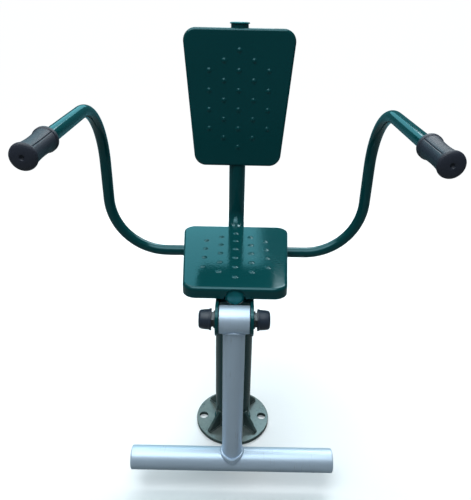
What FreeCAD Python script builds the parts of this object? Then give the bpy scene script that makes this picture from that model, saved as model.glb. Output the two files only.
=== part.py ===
"""Outdoor leg press machine: a seat and backrest on a post, with a hanging foot lever.

Millimetres, +Z up, the user faces -Y. The origin is the centre of the base flange on the floor.
"""
import FreeCAD, Part
import math
import os

V = FreeCAD.Vector
X_AXIS = V(1, 0, 0)
Y_AXIS = V(0, 1, 0)
Z_AXIS = V(0, 0, 1)
SIDES = {"left": -1, "right": 1}

# Base and post
FLANGE_D = 207.0
FLANGE_T = 10.0
ANCHOR_COUNT = 4
ANCHOR_PCD = 168.0
ANCHOR_HOLE_D = 25.0
POST_D = 98.0
POST_WALL = 4.0
HEAD_OVERHANG = 3.0
HEAD_T = 8.0
HEAD_SEAT = 4.0
GUSSET_COUNT = 4
GUSSET_T = 8.0
GUSSET_REACH = 44.0
GUSSET_H = 50.0
GUSSET_TIP = 7.0
GUSSET_LAND = 6.0

# Pressed pans, the same for the seat and the backrest
PAN_LENGTH = 330.0
PAN_WIDE = 276.0
PAN_NARROW = 219.0
PAN_DEPTH = 25.0
PAN_SHEET = 2.5
PAN_CORNER_R = 30.0
PAN_EDGE_R = 7.0
PAN_NOTCH_GAP = 1.7
BUMP_ROWS = (1, 2, 3, 2, 3, 2, 3, 2, 3, 2, 1)
BUMP_COLUMN_STEP = 36.5
BUMP_ROW_STEP = 23.1
BUMP_D = 13.0
BUMP_H = 2.4
SEAT_TOP_Z = 560.0
SEAT_CENTRE_Y = -40.0
BACK_CENTRE_RISE = 318.0
BACK_LEAN = 2.6

# Spine: one bent tube that is the seat beam and the backrest upright
SPINE_D = 42.4
SPINE_WALL = 3.0
SPINE_BEND_R = 58.0
SPINE_BEND_GAP = 1.0
SPINE_PAN_GAP = 2.2
SPINE_TOP_PROUD = 9.0
SPINE_SETBACK = 17.0
SPINE_FRONT_LIP = 0.8
SPINE_TOP_LIP = 3.0
SPINE_CAP_T = 4.0
SPINE_CAP_DEPTH = 14.0

# Angle cleats that carry each pan, with weld studs, washers and nuts
CLEAT_SPACING = 170.0
CLEAT_LENGTH = 46.0
CLEAT_LEG_OUT = 46.0
CLEAT_LEG_DOWN = 28.0
CLEAT_T = 4.0
CLEAT_SINK = 1.0
STUD_D = 8.0
STUD_LENGTH = 18.0
STUD_OUT = 30.0
STUD_HOLE_GAP = 0.5
STUD_WASHER_D = 16.0
STUD_WASHER_T = 1.6
STUD_NUT_FLATS = 13.0
STUD_NUT_T = 6.5

# Handlebar: one bent tube that crosses under the beam behind the post
HANDLE_D = 26.9
HANDLE_WALL = 2.5
HANDLE_POST_GAP = 21.5
HANDLE_SADDLE = 3.9
HANDLE_HALF_SPAN = 323.0
HANDLE_TOP_Z = 892.0
HANDLE_REACH = 453.0
HANDLE_SLOPE = 1.8
HANDLE_LOW_R = 142.0
HANDLE_HIGH_R = 150.0
GRIP_LENGTH = 107.0
GRIP_END_T = 7.0
GRIP_WAIST_WALL = 5.3
GRIP_COLLAR_WALL = 9.0
GRIP_COLLAR_L = 9.0
GRIP_CROWN = 2.5
GRIP_EDGE = 1.8
GRIP_DIMPLE_R = 4.0

# Foot lever and its pivot
HUB_D = 60.3
HUB_LENGTH = 65.0
PIVOT_AHEAD = 15.0
PIVOT_DROP = 41.1
LEVER_D = 48.3
LEVER_WALL = 3.0
FOOT_BAR_D = 57.0
FOOT_BAR_WALL = 3.0
FOOT_BAR_LENGTH = 485.0
FOOT_BAR_CLEARANCE = 54.0
PLUG_FACE_T = 4.0
PLUG_DEPTH = 18.0
PLUG_EDGE_R = 2.5
EAR_T = 7.0
EAR_MARGIN = 4.0
EAR_HUB_GAP = 1.0
EAR_ROOT_MARGIN = 4.0
YOKE_T = 8.0
YOKE_SEAT = 4.0
YOKE_GAP = 12.0
YOKE_LENGTH = 70.0

# Shaft, bearings and caps, along X
SHAFT_D = 20.0
SHAFT_PROUD = 4.0
SHAFT_WASHER_D = 37.0
SHAFT_WASHER_T = 3.5
SHAFT_NUT_FLATS = 30.0
SHAFT_NUT_T = 16.0
BEARING_D = 47.0
BEARING_W = 14.0
BEARING_RECESS = 3.5
BEARING_RING_T = 4.2
BALL_COUNT = 8
BALL_GAP = 0.15
BALL_GROOVE_DEPTH = 1.3
SEAL_T = 1.0
SEAL_GAP = 0.4
SPACER_WALL = 3.5
CIRCLIP_T = 1.75
CIRCLIP_GROOVE = 1.25
CIRCLIP_BAND = 4.0
CIRCLIP_OPENING = 12.0
HUB_SHOULDER = 3.0
CAP_STANDOFF = 4.5
CAP_LENGTH = 27.0
CAP_WALL = 4.2
CAP_RIM = 1.5
CAP_RIM_L = 4.0
CAP_TAPER = 3.0
CAP_EDGE_R = 6.0
CAP_END_T = 6.0
CAP_NUT_GAP = 0.2

# Places worked out from the sizes above
flange_top = FLANGE_T
spine_r = SPINE_D / 2
spine_drop = PAN_SHEET + SPINE_PAN_GAP + spine_r
beam_z = SEAT_TOP_Z - spine_drop
beam_bottom = beam_z - spine_r
seat_front_y = SEAT_CENTRE_Y - PAN_LENGTH / 2
seat_rear_y = SEAT_CENTRE_Y + PAN_LENGTH / 2
beam_front_y = seat_front_y + SPINE_SETBACK
lean = math.radians(BACK_LEAN)
up_spine = V(0, math.sin(lean), math.cos(lean))
bend_run = SPINE_BEND_R * math.tan(math.radians(90 - BACK_LEAN) / 2)
spine_corner = V(0, seat_rear_y + SPINE_BEND_GAP + bend_run, beam_z)
back_centre_z = SEAT_TOP_Z + BACK_CENTRE_RISE
back_axis_rise = (back_centre_z - beam_z - spine_drop * math.sin(lean)) / math.cos(lean)
back_centre = spine_corner + up_spine * back_axis_rise + V(0, -math.cos(lean), math.sin(lean)) * spine_drop
head_top = beam_bottom + HEAD_SEAT
head_bottom = head_top - HEAD_T
head_r = POST_D / 2 + HEAD_OVERHANG
handle_y = head_r + HANDLE_POST_GAP + HANDLE_D / 2
handle_z = beam_bottom + HANDLE_SADDLE - HANDLE_D / 2
handle_end = V(0, handle_y - HANDLE_REACH, HANDLE_TOP_Z - HANDLE_REACH * math.tan(math.radians(HANDLE_SLOPE)))
pivot = V(0, seat_front_y - PIVOT_AHEAD, beam_z - PIVOT_DROP)
foot_bar_z = FOOT_BAR_CLEARANCE + FOOT_BAR_D / 2
hub_half = HUB_LENGTH / 2
ear_inner = hub_half + EAR_HUB_GAP
ear_outer = ear_inner + EAR_T
nut_inner = ear_outer + SHAFT_WASHER_T
nut_outer = nut_inner + SHAFT_NUT_T
shaft_half = nut_outer + SHAFT_PROUD
cap_inner = nut_inner + CAP_STANDOFF
bearing_outer_x = hub_half - BEARING_RECESS
bearing_inner_x = bearing_outer_x - BEARING_W
inner_ring_r = SHAFT_D / 2 + BEARING_RING_T
outer_ring_r = BEARING_D / 2 - BEARING_RING_T
ball_path_r = (inner_ring_r + outer_ring_r) / 2
ball_r = (outer_ring_r - inner_ring_r) / 2 + BALL_GROOVE_DEPTH - BALL_GAP
seat_place = FreeCAD.Placement(V(0, SEAT_CENTRE_Y, SEAT_TOP_Z), FreeCAD.Rotation(X_AXIS, 0))
back_place = FreeCAD.Placement(back_centre, FreeCAD.Rotation(X_AXIS, 90 - BACK_LEAN))


def rod(radius, start, axis, length):
    return Part.makeCylinder(radius, length, start, axis)


def sleeve(outer_r, inner_r, start, axis, length):
    return rod(outer_r, start, axis, length).cut(rod(inner_r, start, axis, length))


def box(low, high):
    size = high - low
    return Part.makeBox(size.x, size.y, size.z, low)


def prism(points, along):
    return Part.Face(Part.makePolygon(points + points[:1])).extrude(along)


def hexagon(flats, start, length):
    """Hexagon bar along X from start."""
    corner_r = flats / 2 / math.cos(math.radians(30))
    turns = [math.radians(60 * step) for step in range(6)]
    points = [start + V(0, math.sin(turn), math.cos(turn)) * corner_r for turn in turns]
    return prism(points, X_AXIS * length)


def ring_face(outer_r, inner_r, centre, normal):
    outer = Part.Face(Part.Wire(Part.makeCircle(outer_r, centre, normal)))
    if inner_r <= 0:
        return outer
    return outer.cut(Part.Face(Part.Wire(Part.makeCircle(inner_r, centre, normal)))).Faces[0]


def bent_bar(corners, bend_radii, outer_r, inner_r):
    """Round bar or tube through corner points, with an arc of its own radius at each inner corner."""
    pieces = []
    start = corners[0]
    for index in range(1, len(corners)):
        heading = (corners[index] - start).normalize()
        profile = ring_face(outer_r, inner_r, start, heading)
        if index == len(corners) - 1:
            pieces.append(profile.extrude(corners[index] - start))
            break
        next_heading = (corners[index + 1] - corners[index]).normalize()
        turn = heading.getAngle(next_heading)
        radius = bend_radii[index - 1]
        run = radius * math.tan(turn / 2)
        bend_start = corners[index] - heading * run
        pieces.append(profile.extrude(bend_start - start))
        axis = heading.cross(next_heading).normalize()
        centre = bend_start + axis.cross(heading).normalize() * radius
        arc_profile = ring_face(outer_r, inner_r, bend_start, heading)
        pieces.append(arc_profile.revolve(centre, axis, math.degrees(turn)))
        start = corners[index] + next_heading * run
    return pieces[0].multiFuse(pieces[1:]).Solids[0]


def lathe(profile_edges, centre, axis):
    return Part.Face(Part.Wire(profile_edges)).revolve(centre, axis, 360)


def chain(points):
    return [Part.LineSegment(a, b).toShape() for a, b in zip(points, points[1:])]


def group(solids):
    return Part.makeCompound(solids)


def placed(shape, place):
    moved = shape.copy()
    moved.Placement = place.multiply(shape.Placement)
    return moved


# Base and post
def base_flange():
    plate = rod(FLANGE_D / 2, V(0, 0, 0), Z_AXIS, FLANGE_T)
    for index in range(ANCHOR_COUNT):
        turn = 2 * math.pi * index / ANCHOR_COUNT
        centre = V(math.cos(turn), math.sin(turn), 0) * (ANCHOR_PCD / 2)
        plate = plate.cut(rod(ANCHOR_HOLE_D / 2, centre, Z_AXIS, FLANGE_T))
    return plate


def base_gussets():
    """Triangular plates between the anchor holes, coped to the post."""
    post = rod(POST_D / 2, V(0, 0, flange_top), Z_AXIS, GUSSET_H)
    foot_r = POST_D / 2 + GUSSET_REACH
    land_r = POST_D / 2 + GUSSET_LAND
    points = [V(0, -GUSSET_T / 2, flange_top), V(foot_r, -GUSSET_T / 2, flange_top),
              V(foot_r, -GUSSET_T / 2, flange_top + GUSSET_TIP),
              V(land_r, -GUSSET_T / 2, flange_top + GUSSET_H), V(0, -GUSSET_T / 2, flange_top + GUSSET_H)]
    plate = prism(points, Y_AXIS * GUSSET_T).cut(post)
    outside = max(plate.Solids, key=lambda solid: solid.CenterOfMass.x)
    gussets = []
    for index in range(GUSSET_COUNT):
        turn = 360 * (index + 0.5) / GUSSET_COUNT
        gussets.append(placed(outside, FreeCAD.Placement(V(0, 0, 0), FreeCAD.Rotation(Z_AXIS, turn))))
    return group(gussets)


def main_post():
    return sleeve(POST_D / 2, POST_D / 2 - POST_WALL, V(0, 0, flange_top), Z_AXIS, head_bottom - flange_top)


def beam_rod():
    """Outside of the seat beam as a solid rod, to cope what is welded to it."""
    return rod(spine_r, V(0, beam_front_y, beam_z), Y_AXIS, seat_rear_y - beam_front_y)


def post_head_plate():
    return rod(head_r, V(0, 0, head_bottom), Z_AXIS, HEAD_T).cut(beam_rod())


# Spine
def spine_tube():
    top = back_place.multVec(V(0, PAN_LENGTH / 2 + SPINE_TOP_PROUD, -spine_drop))
    corners = [V(0, beam_front_y, beam_z), spine_corner, top]
    return bent_bar(corners, [SPINE_BEND_R], spine_r, spine_r - SPINE_WALL)


def spine_cap(lip):
    """End cap along -Y at the origin: a lipped face and a plug inside the tube."""
    face = rod(spine_r + lip, V(0, -SPINE_CAP_T, 0), Y_AXIS, SPINE_CAP_T)
    front_edges = [edge for edge in face.Edges if edge.BoundBox.YMax < -SPINE_CAP_T / 2]
    face = face.makeFillet(SPINE_CAP_T / 2, front_edges)
    return face.fuse(rod(spine_r - SPINE_WALL, V(0, 0, 0), Y_AXIS, SPINE_CAP_DEPTH)).removeSplitter()


def spine_front_cap():
    front = FreeCAD.Placement(V(0, beam_front_y, beam_z), FreeCAD.Rotation())
    return placed(spine_cap(SPINE_FRONT_LIP), front)


def spine_top_cap():
    top = back_place.multVec(V(0, PAN_LENGTH / 2 + SPINE_TOP_PROUD, -spine_drop))
    return placed(spine_cap(SPINE_TOP_LIP), FreeCAD.Placement(top, FreeCAD.Rotation(X_AXIS, -90 - BACK_LEAN)))


# Pans, in their own frame: X across, Y towards the wide end, Z out of the face, face at Z = 0
def pan_outline(inset):
    """Rounded trapezoid, its sides moved in by inset."""
    wide = PAN_WIDE / 2
    narrow = PAN_NARROW / 2
    half = PAN_LENGTH / 2
    side_turn = math.atan2(wide - narrow, PAN_LENGTH)
    slant = inset / math.cos(side_turn)
    taper = math.tan(side_turn)
    wide_in = wide - slant - inset * taper
    narrow_in = narrow - slant + inset * taper
    corners = [V(-narrow_in, inset - half, 0), V(narrow_in, inset - half, 0),
               V(wide_in, half - inset, 0), V(-wide_in, half - inset, 0)]
    radius = PAN_CORNER_R - inset
    edges = []
    ends = []
    for index, corner in enumerate(corners):
        before = (corners[index - 1] - corner).normalize()
        after = (corners[(index + 1) % 4] - corner).normalize()
        half_angle = before.getAngle(after) / 2
        run = radius / math.tan(half_angle)
        middle = (before + after).normalize()
        centre = corner + middle * (radius / math.sin(half_angle))
        arc_start = corner + before * run
        arc_end = corner + after * run
        ends.append((arc_start, arc_end))
        edges.append(Part.Arc(arc_start, centre - middle * radius, arc_end).toShape())
    for index in range(4):
        edges.append(Part.LineSegment(ends[index][1], ends[(index + 1) % 4][0]).toShape())
    return Part.Face(Part.Wire(Part.__sortEdges__(edges)))


def rounded_slab(inset, top, edge_r):
    """Outline pulled down from top to the bottom of the skirt, its upper edge rounded."""
    face = pan_outline(inset)
    face.translate(V(0, 0, -PAN_DEPTH))
    slab = face.extrude(V(0, 0, PAN_DEPTH + top))
    upper = [edge for edge in slab.Edges if edge.BoundBox.ZMin > top - PAN_SHEET / 4]
    return slab.makeFillet(edge_r, upper)


def bump_places():
    places = []
    for row, count in enumerate(BUMP_ROWS):
        along = (row - (len(BUMP_ROWS) - 1) / 2) * BUMP_ROW_STEP
        for index in range(count):
            across = (2 * index - (count - 1)) * BUMP_COLUMN_STEP
            places.append(V(across, along, 0))
    return places


def bump_cap(centre, radius, floor_z):
    """Spherical cap about the Z axis that stands on floor_z."""
    half_angle = math.acos((floor_z - centre.z) / radius)

    def at(turn):
        return centre + V(math.sin(turn), 0, math.cos(turn)) * radius

    arc = Part.Arc(at(0), at(half_angle / 2), at(half_angle)).toShape()
    return lathe([arc] + chain([at(half_angle), V(0, 0, floor_z), at(0)]), centre, Z_AXIS)


def pan():
    """Pressed sheet tray with raised bumps, hollow behind, its ends notched for the spine."""
    inside = rounded_slab(PAN_SHEET, -PAN_SHEET, PAN_EDGE_R - PAN_SHEET)
    shell = rounded_slab(0.0, 0.0, PAN_EDGE_R).cut(inside)
    dome_r = ((BUMP_D / 2) ** 2 + BUMP_H ** 2) / (2 * BUMP_H)
    centre = V(0, 0, BUMP_H - dome_r)
    dome = bump_cap(centre, dome_r, -PAN_SHEET / 2)
    hollow = bump_cap(centre, dome_r - PAN_SHEET, -PAN_SHEET)
    domes = [placed(dome, FreeCAD.Placement(place, FreeCAD.Rotation())) for place in bump_places()]
    hollows = [placed(hollow, FreeCAD.Placement(place, FreeCAD.Rotation())) for place in bump_places()]
    shell = shell.multiFuse(domes).cut(group(hollows))
    notch_r = spine_r + PAN_NOTCH_GAP
    notch = rod(notch_r, V(0, -PAN_LENGTH, -spine_drop), Y_AXIS, 2 * PAN_LENGTH)
    below = box(V(-notch_r, -PAN_LENGTH, -2 * PAN_DEPTH - spine_drop), V(notch_r, PAN_LENGTH, -spine_drop))
    return shell.cut(notch).cut(below).Solids[0]


def cleat_corners():
    return [(side, end) for side in SIDES.values() for end in (-1, 1)]


def cleats():
    """Angle irons welded along the spine, their flat legs under the sheet."""
    spine = rod(spine_r, V(0, -PAN_LENGTH, -spine_drop), Y_AXIS, 2 * PAN_LENGTH)
    inner = spine_r - CLEAT_SINK
    solids = []
    for side, end in cleat_corners():
        start = end * CLEAT_SPACING / 2 - CLEAT_LENGTH / 2
        points = [V(side * inner, start, -PAN_SHEET), V(side * (inner + CLEAT_LEG_OUT), start, -PAN_SHEET),
                  V(side * (inner + CLEAT_LEG_OUT), start, -PAN_SHEET - CLEAT_T),
                  V(side * (inner + CLEAT_T), start, -PAN_SHEET - CLEAT_T),
                  V(side * (inner + CLEAT_T), start, -PAN_SHEET - CLEAT_LEG_DOWN),
                  V(side * inner, start, -PAN_SHEET - CLEAT_LEG_DOWN)]
        angle = prism(points, Y_AXIS * CLEAT_LENGTH).cut(spine)
        hole = rod(STUD_D / 2 + STUD_HOLE_GAP, stud_place(side, end), -Z_AXIS, 2 * CLEAT_T)
        solids.append(angle.cut(hole).Solids[0])
    return group(solids)


def stud_place(side, end):
    return V(side * (spine_r + STUD_OUT), end * CLEAT_SPACING / 2, -PAN_SHEET)


def studs():
    return group([rod(STUD_D / 2, stud_place(*corner), -Z_AXIS, STUD_LENGTH) for corner in cleat_corners()])


def stud_washers():
    below = -Z_AXIS * CLEAT_T
    return group([sleeve(STUD_WASHER_D / 2, STUD_D / 2, stud_place(*corner) + below, -Z_AXIS, STUD_WASHER_T)
                  for corner in cleat_corners()])


def stud_nuts():
    turned = hexagon(STUD_NUT_FLATS, V(0, 0, 0), STUD_NUT_T)
    turned = placed(turned, FreeCAD.Placement(V(0, 0, 0), FreeCAD.Rotation(Y_AXIS, 90)))
    turned = turned.cut(rod(STUD_D / 2, V(0, 0, 0), -Z_AXIS, STUD_NUT_T))
    nuts = []
    for corner in cleat_corners():
        seat = stud_place(*corner) - Z_AXIS * (CLEAT_T + STUD_WASHER_T)
        nuts.append(placed(turned, FreeCAD.Placement(seat, FreeCAD.Rotation())))
    return group(nuts)


# Handlebar and grips
def handlebar():
    corners = []
    for side in SIDES.values():
        arm = [V(side * HANDLE_HALF_SPAN, handle_end.y, handle_end.z),
               V(side * HANDLE_HALF_SPAN, handle_y, HANDLE_TOP_Z),
               V(side * HANDLE_HALF_SPAN, handle_y, handle_z)]
        corners += arm if side < 0 else arm[::-1]
    radii = [HANDLE_HIGH_R, HANDLE_LOW_R, HANDLE_LOW_R, HANDLE_HIGH_R]
    bar = bent_bar(corners, radii, HANDLE_D / 2, HANDLE_D / 2 - HANDLE_WALL)
    return bar.cut(beam_rod()).Solids[0]


def grip(side):
    """Waisted rubber sleeve in line with the arm, closed at the end, with two collars and a dimple."""
    bore_r = HANDLE_D / 2
    collar_r = bore_r + GRIP_COLLAR_WALL
    waist_r = bore_r + GRIP_WAIST_WALL
    end_y = -GRIP_END_T
    start_y = end_y + GRIP_LENGTH

    def at(y, radius):
        return V(radius, y, 0)

    crown_y = end_y + GRIP_CROWN
    edge_y = crown_y + GRIP_EDGE
    waist_front = end_y + GRIP_COLLAR_L
    waist_rear = start_y - GRIP_COLLAR_L
    shoulder_r = collar_r - GRIP_EDGE
    crown_sag = GRIP_CROWN / 4
    crown = Part.Arc(at(end_y, 0), at(end_y + crown_sag, shoulder_r / 2), at(crown_y, shoulder_r)).toShape()
    waist = Part.BSplineCurve()
    waist.interpolate([at(waist_front, shoulder_r), at((waist_front + waist_rear) / 2, waist_r),
                       at(waist_rear, shoulder_r)])
    edges = [crown] + chain([at(crown_y, shoulder_r), at(edge_y, collar_r), at(waist_front, collar_r),
                             at(waist_front, shoulder_r)])
    edges += [waist.toShape()] + chain([at(waist_rear, shoulder_r), at(waist_rear, collar_r),
                                        at(start_y, collar_r), at(start_y, 0), at(end_y, 0)])
    body = lathe(edges, V(0, 0, 0), Y_AXIS)
    body = body.cut(rod(bore_r, V(0, 0, 0), Y_AXIS, GRIP_LENGTH))
    body = body.cut(Part.makeSphere(GRIP_DIMPLE_R, V(0, end_y, 0)))
    arm_end = handle_end + X_AXIS * (side * HANDLE_HALF_SPAN)
    return placed(body, FreeCAD.Placement(arm_end, FreeCAD.Rotation(X_AXIS, HANDLE_SLOPE)))


# Pivot bracket
def pivot_ear(side):
    """Lug plate: a round end about the shaft, tapering back to the yoke plate."""
    ear_r = HUB_D / 2 + EAR_MARGIN
    rear = pivot.y + HUB_D / 2 + YOKE_GAP + YOKE_LENGTH
    yoke_top = beam_bottom + YOKE_SEAT
    root_top = V(0, rear, yoke_top + EAR_ROOT_MARGIN)
    root_bottom = V(0, rear, yoke_top - YOKE_T - EAR_ROOT_MARGIN)
    touch = []
    for root, sign in ((root_top, 1), (root_bottom, -1)):
        reach = root - pivot
        turn = math.atan2(reach.z, reach.y) + sign * math.acos(ear_r / reach.Length)
        touch.append(pivot + V(0, math.cos(turn), math.sin(turn)) * ear_r)
    plate = prism([touch[0], root_top, root_bottom, touch[1], pivot], X_AXIS * EAR_T)
    plate = plate.fuse(rod(ear_r, pivot, X_AXIS, EAR_T)).removeSplitter()
    plate = plate.cut(rod(SHAFT_D / 2, pivot, X_AXIS, EAR_T))
    plate.translate(X_AXIS * (ear_inner if side > 0 else -ear_outer))
    return plate


def yoke_plate():
    """Cross plate between the two ears, under the beam and coped to it."""
    front = pivot.y + HUB_D / 2 + YOKE_GAP
    top = beam_bottom + YOKE_SEAT
    plate = box(V(-ear_inner, front, top - YOKE_T), V(ear_inner, front + YOKE_LENGTH, top))
    return plate.cut(beam_rod()).Solids[0]


def at_both_ends(make):
    """The same piece at the left and the right end of the shaft."""
    return group([make(side) for side in SIDES.values()])


def along_shaft(side, inner, outer, outer_r, inner_r):
    start = pivot + X_AXIS * (inner if side > 0 else -outer)
    return sleeve(outer_r, inner_r, start, X_AXIS, outer - inner)


def pivot_shaft():
    return rod(SHAFT_D / 2, pivot - X_AXIS * shaft_half, X_AXIS, 2 * shaft_half)


def shaft_washers():
    return at_both_ends(lambda side: along_shaft(side, ear_outer, nut_inner, SHAFT_WASHER_D / 2, SHAFT_D / 2))


def shaft_nuts():
    def nut(side):
        start = pivot + X_AXIS * (nut_inner if side > 0 else -nut_outer)
        return hexagon(SHAFT_NUT_FLATS, start, SHAFT_NUT_T).cut(rod(SHAFT_D / 2, start, X_AXIS, SHAFT_NUT_T))
    return at_both_ends(nut)


def shaft_cap(side):
    """Push-on domed cover that grips the nut, its rim flared."""
    bore_r = SHAFT_NUT_FLATS / 2 / math.cos(math.radians(30)) + CAP_NUT_GAP
    body_r = bore_r + CAP_WALL
    end_x = cap_inner + CAP_LENGTH
    end_r = body_r - CAP_TAPER

    def at(x, radius):
        return pivot + V(side * x, 0, radius)

    half_round = CAP_EDGE_R * (1 - math.sqrt(0.5))
    edges = chain([at(cap_inner, bore_r), at(cap_inner, body_r + CAP_RIM),
                   at(cap_inner + CAP_RIM_L, body_r), at(end_x - CAP_EDGE_R, end_r)])
    edges.append(Part.Arc(at(end_x - CAP_EDGE_R, end_r), at(end_x - half_round, end_r - half_round),
                          at(end_x, end_r - CAP_EDGE_R)).toShape())
    edges += chain([at(end_x, end_r - CAP_EDGE_R), at(end_x, 0), at(end_x - CAP_END_T, 0),
                    at(end_x - CAP_END_T, bore_r), at(cap_inner, bore_r)])
    return lathe(edges, pivot, X_AXIS)


# Bearings
def bearing_mid(side):
    return side * (bearing_inner_x + BEARING_W / 2)


def bearing_ring(side, outer_r, inner_r):
    """Plain ring with the groove that the balls run in."""
    groove = Part.makeTorus(ball_path_r, ball_r + BALL_GAP, pivot + X_AXIS * bearing_mid(side), X_AXIS)
    return along_shaft(side, bearing_inner_x, bearing_outer_x, outer_r, inner_r).cut(groove)


def bearing_inner_rings():
    return at_both_ends(lambda side: bearing_ring(side, inner_ring_r, SHAFT_D / 2))


def bearing_outer_rings():
    return at_both_ends(lambda side: bearing_ring(side, BEARING_D / 2, outer_ring_r))


def bearing_balls():
    balls = []
    for side in SIDES.values():
        for index in range(BALL_COUNT):
            turn = 2 * math.pi * index / BALL_COUNT
            offset = V(bearing_mid(side), math.cos(turn) * ball_path_r, math.sin(turn) * ball_path_r)
            balls.append(Part.makeSphere(ball_r, pivot + offset))
    return group(balls)


def bearing_seals():
    """Rubber discs in the outer rings, just clear of the inner rings."""
    seals = []
    for side in SIDES.values():
        for inner in (bearing_inner_x, bearing_outer_x - SEAL_T):
            seals.append(along_shaft(side, inner, inner + SEAL_T, outer_ring_r, inner_ring_r + SEAL_GAP))
    return group(seals)


def bearing_spacer():
    start = pivot - X_AXIS * bearing_inner_x
    return sleeve(SHAFT_D / 2 + SPACER_WALL, SHAFT_D / 2, start, X_AXIS, 2 * bearing_inner_x)


def shaft_collars():
    return at_both_ends(lambda side: along_shaft(side, bearing_outer_x, ear_inner,
                                                 SHAFT_D / 2 + SPACER_WALL, SHAFT_D / 2))


def hub_circlips():
    """Open spring rings that hold the bearings in the hub."""
    def clip(side):
        ring = along_shaft(side, bearing_outer_x, bearing_outer_x + CIRCLIP_T,
                           BEARING_D / 2 + CIRCLIP_GROOVE, BEARING_D / 2 + CIRCLIP_GROOVE - CIRCLIP_BAND)
        half_gap = CIRCLIP_OPENING / 2
        gap = box(pivot + V(-hub_half, -half_gap, 0), pivot + V(hub_half, half_gap, HUB_D))
        return ring.cut(gap).Solids[0]
    return at_both_ends(clip)


# Foot lever
def hub_sleeve():
    hub = sleeve(HUB_D / 2, BEARING_D / 2 - HUB_SHOULDER, pivot - X_AXIS * hub_half, X_AXIS, HUB_LENGTH)
    for side in SIDES.values():
        seat_start = pivot + X_AXIS * (bearing_inner_x if side > 0 else -hub_half)
        hub = hub.cut(rod(BEARING_D / 2, seat_start, X_AXIS, hub_half - bearing_inner_x))
        groove_start = pivot + X_AXIS * (bearing_outer_x if side > 0 else -bearing_outer_x - CIRCLIP_T)
        hub = hub.cut(rod(BEARING_D / 2 + CIRCLIP_GROOVE, groove_start, X_AXIS, CIRCLIP_T))
    return hub


def foot_bar_start():
    return V(-FOOT_BAR_LENGTH / 2, pivot.y, foot_bar_z)


def lever_tube():
    """Straight tube, coped to the hub above and to the foot bar below."""
    foot = V(0, pivot.y, foot_bar_z)
    tube = sleeve(LEVER_D / 2, LEVER_D / 2 - LEVER_WALL, foot, Z_AXIS, pivot.z - foot_bar_z)
    tube = tube.cut(rod(HUB_D / 2, pivot - X_AXIS * HUB_LENGTH, X_AXIS, 2 * HUB_LENGTH))
    return tube.cut(rod(FOOT_BAR_D / 2, foot_bar_start(), X_AXIS, FOOT_BAR_LENGTH)).Solids[0]


def foot_bar():
    return sleeve(FOOT_BAR_D / 2, FOOT_BAR_D / 2 - FOOT_BAR_WALL, foot_bar_start(), X_AXIS, FOOT_BAR_LENGTH)


def foot_bar_plug(side):
    """Moulded end plug: a rounded face and a spigot inside the bar."""
    end = V(side * FOOT_BAR_LENGTH / 2, pivot.y, foot_bar_z)
    outward = X_AXIS * side
    face = rod(FOOT_BAR_D / 2, end, outward, PLUG_FACE_T)
    rim = [edge for edge in face.Edges if abs(edge.CenterOfMass.x - end.x) > PLUG_FACE_T / 2
           and edge.BoundBox.XLength < PLUG_FACE_T / 2]
    face = face.makeFillet(PLUG_EDGE_R, rim)
    return face.fuse(rod(FOOT_BAR_D / 2 - FOOT_BAR_WALL, end, -outward, PLUG_DEPTH)).removeSplitter()


def assembly():
    parts = {
        "base_flange": base_flange(), "base_gussets": base_gussets(), "main_post": main_post(),
        "post_head_plate": post_head_plate(), "spine_tube": spine_tube(),
        "spine_front_cap": spine_front_cap(), "spine_top_cap": spine_top_cap(),
        "handlebar": handlebar(), "yoke_plate": yoke_plate(),
        "pivot_shaft": pivot_shaft(), "shaft_washers": shaft_washers(), "shaft_nuts": shaft_nuts(),
        "bearing_inner_rings": bearing_inner_rings(), "bearing_outer_rings": bearing_outer_rings(),
        "bearing_balls": bearing_balls(), "bearing_seals": bearing_seals(),
        "bearing_spacer": bearing_spacer(), "shaft_collars": shaft_collars(),
        "hub_circlips": hub_circlips(), "hub_sleeve": hub_sleeve(),
        "lever_tube": lever_tube(), "foot_bar": foot_bar(),
    }
    pan_pieces = {"pan": pan(), "cleats": cleats(), "studs": studs(),
                  "washers": stud_washers(), "nuts": stud_nuts()}
    for seat_name, place in (("seat", seat_place), ("backrest", back_place)):
        for piece, shape in pan_pieces.items():
            parts[seat_name + "_" + piece] = placed(shape, place)
    for name, side in SIDES.items():
        parts["grip_" + name] = grip(side)
        parts["pivot_ear_" + name] = pivot_ear(side)
        parts["shaft_cap_" + name] = shaft_cap(side)
        parts["foot_bar_plug_" + name] = foot_bar_plug(side)
    return parts


os.makedirs("parts", exist_ok=True)
for node, shape in assembly().items():
    shape.exportStep(os.path.join("parts", node + ".step"))
    box_now = shape.BoundBox
    print(node, len(shape.Solids), "solids", "valid" if shape.isValid() else "NOT VALID",
          [round(value, 1) for value in (box_now.XMin, box_now.YMin, box_now.ZMin)],
          [round(value, 1) for value in (box_now.XMax, box_now.YMax, box_now.ZMax)])
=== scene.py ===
"""Looks of the outdoor leg press: enamelled steel, pressed pans, silver foot lever and rubber grips.

Shapes are worked out in millimetres, +Z up, the user facing -Y, and scaled to metres when they are set in
the frame.
"""
import math
from functools import lru_cache
import bmesh
import bpy
from mathutils import Matrix, Vector
from mathutils.geometry import delaunay_2d_cdt


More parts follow.
